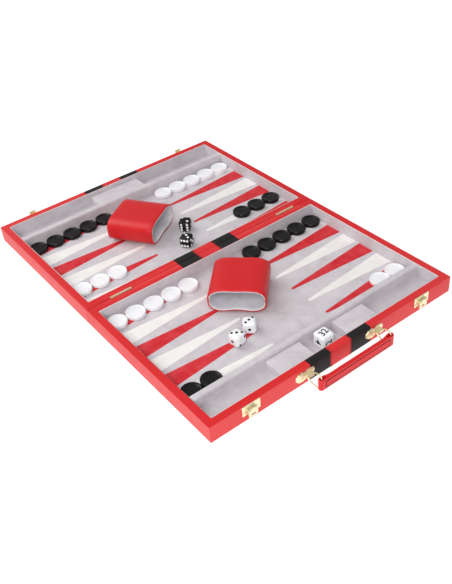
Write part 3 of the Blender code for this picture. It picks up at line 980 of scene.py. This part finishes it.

# raised panel on the outer face, sewn round; the groove round it is not cut but drawn as
# a near-black sheet, painted shade
x0, x1, z0, z1 = -0.0458, 0.0560, 0.0056, 0.0134
mid_z, tall = (z0 + z1) / 2, (z1 - z0) / 2
outline = []
for x, way in ((x1, 1), (x0, -1)):
    for k in range(9):
        a = math.radians(-90 + 180 * k / 8)
        square = math.copysign(abs(math.sin(a)) ** 0.5, a)
        outline.append((x + way * (max(0.0, math.cos(a)) ** 0.5 * 0.0030 - 0.0030),
                        mid_z + way * square * tall))
bm = bmesh.new()
add_prism(bm, [(x, GRIP_OUT + 0.0008, z) for x, z in outline], (0, -0.0010, 0))
panel = settle("grip_panel", bm, RED, "handle")
rounded(panel, 0.0003, 2)
groove, seam_line = [], []
for x, z in outline:
    for line, grow in ((groove, 0.0011), (seam_line, 0.0006)):
        line.append((x + math.copysign(grow, x), z + (grow if z > mid_z else -grow)))
# painted shade: a thin dark sheet round the panel stands for the shade in its groove
bm = bmesh.new()
add_loft(bm, [[(x, GRIP_OUT + depth, z) for x, z in line]
              for line, depth in ((groove, 0.0006), (groove, 0.0001),
                                  (outline, 0.0001), (outline, 0.0006))], ends=False)
settle("grip_groove_painted_shade", bm, DARK_THREAD_AND_SHADE, "handle")
spots = [(Vector((p.x, GRIP_OUT + 0.00004, p.y)), Vector((d.x, 0, d.y)))
         for p, d in along_path(seam_line + seam_line[:1], GRIP_PITCH, 0.0008)]
stitches("grip_stitches", spots, RED_THREAD, "handle", 0.0019, 0.00020)


# ---- men ----
def man_profile(r, t):
    """Turned section: foot, side, rolled rim, dish with one ring."""
    return [(0, 0), (r - 0.0006, 0), (r - 0.00018, 0.00018), (r, 0.0007),
            (r, t - 0.0012), (r - 0.0002, t - 0.0006), (r - 0.0006, t - 0.00018),
            (r - 0.0012, t), (r - 0.0019, t - 0.0001), (r - 0.0025, t - 0.0006),
            (r - 0.0031, t - 0.00085), (r - 0.0046, t - 0.0009),
            (r - 0.0049, t - 0.0007), (r - 0.0053, t - 0.0007),
            (r - 0.0056, t - 0.0009), (0, t - 0.0009)]


for colour, finish in (("white", WHITE), ("black", JET)):
    for number in range(1, 16):
        node = f"checker_{colour}_{number:02d}"
        low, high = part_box(node)
        bm = bmesh.new()
        add_lathe(bm, man_profile((high.x - low.x) / 2, high.z - low.z), 72)
        centre = (low + high) / 2
        spot = Matrix.Translation((centre.x, centre.y, low.z))
        piece = settle(f"man_{colour}_{number:02d}", bm, finish, node + "_body",
                       spot, 28)
        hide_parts(node)


# ---- dice ----
SPOTS = {1: ((0, 0),), 2: ((-1, -1), (1, 1)), 3: ((-1, -1), (0, 0), (1, 1)),
         4: ((-1, -1), (-1, 1), (1, -1), (1, 1)),
         5: ((-1, -1), (-1, 1), (1, -1), (1, 1), (0, 0)),
         6: ((-1, -1), (-1, 0), (-1, 1), (1, -1), (1, 0), (1, 1))}
# faces as (normal, across, up)
FACES = {"top": ((0, 0, 1), (1, 0, 0), (0, 1, 0)),
         "foot": ((0, 0, -1), (1, 0, 0), (0, -1, 0)),
         "front": ((0, -1, 0), (1, 0, 0), (0, 0, 1)),
         "back": ((0, 1, 0), (-1, 0, 0), (0, 0, 1)),
         "left": ((-1, 0, 0), (0, -1, 0), (0, 0, 1)),
         "right": ((1, 0, 0), (0, 1, 0), (0, 0, 1))}


DIE_ROUND, CUBE_ROUND = 0.0049, 0.0032  # bevels of dice and doubling cube
SPOT_R, SPOT_OUT = 0.0021, 0.0008  # ball that dishes a spot, and its height
SPOT_SPREAD = 0.255  # share of the edge


def centre_of(node):
    """Middle of a node's box, and its height."""
    low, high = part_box(node)
    return (low + high) / 2, high.z - low.z


def die(node, turn, faces, finish, ink):
    """Rounded die with dished spots; faces gives (face, value, quarter turn)."""
    centre, edge = centre_of(node)
    at = Matrix.Translation(centre) @ Matrix.Rotation(math.radians(turn), 4, "Z")
    bm = bmesh.new()
    add_box(bm, (-edge / 2,) * 3, (edge / 2,) * 3)
    roll_edges(bm, bm.edges[:], DIE_ROUND, 7)
    piece = settle(node.replace("die", "rolled_die"), bm, (finish, ink), node + "_body",
                   at, 60)
    bm = bmesh.new()
    for face, value, quarter in faces:
        normal, across, up = (Vector(v) for v in FACES[face])
        if quarter:
            across, up = up, -across
        for u, v in SPOTS[value]:
            spot = normal * (edge / 2 + SPOT_OUT)
            spot += (across * u + up * v) * edge * SPOT_SPREAD
            bmesh.ops.create_uvsphere(bm, u_segments=20, v_segments=12, radius=SPOT_R,
                                      matrix=Matrix.Translation(spot))
    cut_with(piece, bm, ink=True)
    piece.data.shade_smooth()
    piece.data.set_sharp_from_angle(angle=math.radians(35))
    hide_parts(node)


for which, turn in (("1", 53), ("2", 11)):
    die("die_white_" + which, turn,
        (("top", 3, 1), ("left", 1, 0), ("front", 2, 0), ("right", 6, 0), ("back", 5, 0),
         ("foot", 4, 0)), WHITE, INK)
die("die_black_1", 45,
    (("top", 2, 0), ("left", 6, 0), ("front", 3, 0), ("right", 1, 0), ("back", 4, 0),
     ("foot", 5, 0)), JET, PIP_WHITE)
die("die_black_2", 33,
    (("top", 3, 0), ("left", 6, 1), ("front", 5, 0), ("right", 1, 0), ("back", 2, 0),
     ("foot", 4, 0)), JET, PIP_WHITE)

NUMBER_SIZE = {1: 0.0136, 2: 0.0122}  # by count of figures
# doubling cube with its six numbers
centre, edge = centre_of("doubling_cube")
bm = bmesh.new()
add_box(bm, (-edge / 2,) * 3, (edge / 2,) * 3)
roll_edges(bm, bm.edges[:], CUBE_ROUND, 6, 0.55)
cube = settle("doubling_cube_shell", bm, WHITE, "doubling_cube_body",
              Matrix.Translation(centre), 60)
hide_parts("doubling_cube")
for face, number, spin in (("top", "32", 14), ("left", "4", -90), ("front", "2", 90),
                           ("right", "8", 0), ("back", "16", 0), ("foot", "64", 0)):
    normal, across, up = (Vector(v) for v in FACES[face])
    text = bpy.data.curves.new("number_" + number, "FONT")
    text.body = number
    text.size = NUMBER_SIZE[len(number)]
    text.align_x = text.align_y = "CENTER"
    text.extrude = 0.00005
    text.offset = 0.00022
    text.resolution_u = 3
    text.materials.append(INK)
    letters = add_object("number_" + number, text)
    turn = Matrix((across, up, normal)).transposed().to_4x4()
    place = Matrix.Translation(centre + normal * (edge / 2)) @ turn
    mesh = applied(letters)
    bpy.data.objects.remove(letters, do_unlink=True)
    number_piece = add_object("cube_number_" + number, mesh)
    number_piece.matrix_world = place @ Matrix.Rotation(math.radians(spin), 4, "Z")
    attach(number_piece, "doubling_cube_body")


# ---- cups ----
CUP_W, CUP_T, CUP_L = 0.0756, 0.0366, 0.0707
CUP_SQUARENESS = 0.62  # 1 is an ellipse, 0 a box
SLEEVE_T, LINED = 0.0024, 0.0034  # wall of the sleeve, and with its felt


def cup_ring(inset, depth, steps=72):
    """One ring of the cup's oval, inset from its outside, a little pinched
    along the middle of both flat faces."""
    half_w, half_t = CUP_W / 2 - inset, CUP_T / 2 - inset
    open_end = 1 - depth / CUP_L
    ring = []
    for k in range(steps):
        a = 2 * math.pi * k / steps
        c, s = math.cos(a), math.sin(a)
        u = half_w * math.copysign(abs(c) ** CUP_SQUARENESS, c)
        v = half_t * math.copysign(abs(s) ** CUP_SQUARENESS, s)
        pinch = math.exp(-(u / (CUP_W * 0.20)) ** 2)
        v += (0.0005 + 0.0030 * open_end) * pinch if v < 0 else -0.0009 * pinch
        ring.append((-depth, u, v))
    return ring


for which, heading in (("front", 225.7), ("rear", -56.8)):
    node = "cup_" + which
    body = node + "_body"
    low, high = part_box(node)
    middle = (low + high) / 2
    turn = Matrix.Rotation(math.radians(heading), 4, "Z")
    at = Matrix.Translation(middle) @ turn @ Matrix.Translation((CUP_L / 2, 0, 0))
    # leather sleeve, rolled in at the mouth and over the closed end
    bm = bmesh.new()
    rings = [cup_ring(inset, depth) for inset, depth in (
        (0.0062, CUP_L - 0.0006), (0.0022, CUP_L - 0.0006), (0.0017, CUP_L - 0.0001),
        (0.0010, CUP_L), (0.0003, CUP_L - 0.0004), (0, CUP_L - 0.0013),
        *((0, CUP_L - 0.0013 - (CUP_L - 0.0026) * k / 10) for k in range(1, 10)),
        (0, 0.0012), (0.0003, 0.0004), (0.0009, 0.0), (0.0018, 0.0),
        (0.0023, 0.0006), (SLEEVE_T, 0.0020), (SLEEVE_T, CUP_L - 0.0030))]
    add_loft(bm, rings)
    sleeve = settle(node + "_sleeve", bm, RED_CUP, body, at, 40)
    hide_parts(node)
    # felt inside
    bm = bmesh.new()
    rings = [cup_ring(inset, depth) for inset, depth in (
        (0.00245, CUP_L - 0.0032), (0.00245, 0.0012), (0.0026, 0.0005),
        (0.0030, 0.0003), (0.0033, 0.0008), (LINED, 0.0025),
        *((LINED, 0.0025 + (CUP_L - 0.0095) * k / 8) for k in range(1, 8)),
        (0.0037, CUP_L - 0.0058), (0.0049, CUP_L - 0.0050), (0.0100, CUP_L - 0.0048))]
    add_loft(bm, rings)
    settle(node + "_lining", bm, CUP_FELT, body, at, 40)
    # pale cord where sleeve and felt meet at the mouth
    bm = bmesh.new()
    add_tube(bm, [Vector(p) for p in cup_ring(0.0026, 0.00035)], 0.00058, 8, closed=True)
    settle(node + "_mouth_cord", bm, PIPING, body, at, 40)


# ---- floor, light, camera ----
FLOOR_Z = -0.0006  # the bands reach a little below the trays
bm = bmesh.new()
bmesh.ops.create_grid(bm, x_segments=1, y_segments=1, size=6.0)
floor_mesh = bpy.data.meshes.new("floor")
bm.to_mesh(floor_mesh)
bm.free()
floor = add_object("floor", floor_mesh)
floor.location = (0, 0, FLOOR_Z)
paper = bpy.data.materials.new("pale_floor")
paper.use_nodes = True
surface = paper.node_tree.nodes["Principled BSDF"].inputs
surface["Base Color"].default_value = (0.38, 0.38, 0.38, 1)
surface["Roughness"].default_value = 0.9
surface["Emission Color"].default_value = (1, 1, 1, 1)
surface["Emission Strength"].default_value = 0.82
floor_mesh.materials.append(paper)

world = bpy.data.worlds.new("studio")
world.use_nodes = True
sky = world.node_tree.nodes["Background"].inputs
sky["Color"].default_value = (1.0, 1.0, 1.0, 1)
sky["Strength"].default_value = 0.40
scene.world = world
scene.view_settings.view_transform = "Standard"

for name, at, size, power in (("key_panel", (-0.95, -1.05, 1.15), 0.9, 17.0),
                              ("fill_panel", (-0.7, 1.0, 1.5), 1.4, 18.0)):
    lamp = bpy.data.lights.new(name, "AREA")
    lamp.shape = "SQUARE"
    lamp.size = size
    lamp.energy = power
    panel_light = add_object(name, lamp)
    panel_light.location = at
    aim = Vector((0, 0, 0)) - Vector(at)
    panel_light.rotation_euler = aim.to_track_quat("-Z", "Y").to_euler()

AZIMUTH, ELEVATION, ROLL = math.radians(-33.91), math.radians(38.26), math.radians(-5.75)
TARGET = Vector((-0.0208, -0.0676 + HINGE_Y, 0))
DISTANCE = 1.0191
back = Vector((math.sin(AZIMUTH) * math.cos(ELEVATION),
               -math.cos(AZIMUTH) * math.cos(ELEVATION), math.sin(ELEVATION)))
right = (-back).cross(Vector((0, 0, 1))).normalized()
up = right.cross(-back)
right_rolled = right * math.cos(ROLL) + up * math.sin(ROLL)
up_rolled = up * math.cos(ROLL) - right * math.sin(ROLL)
lens = bpy.data.cameras.new("camera")
lens.lens = 47.48
lens.sensor_width = 36.0
lens.clip_start = 0.01
camera = add_object("camera", lens)
turn = Matrix((right_rolled, up_rolled, back)).transposed().to_4x4()
camera.matrix_world = Matrix.Translation(TARGET + back * DISTANCE) @ turn
scene.camera = camera
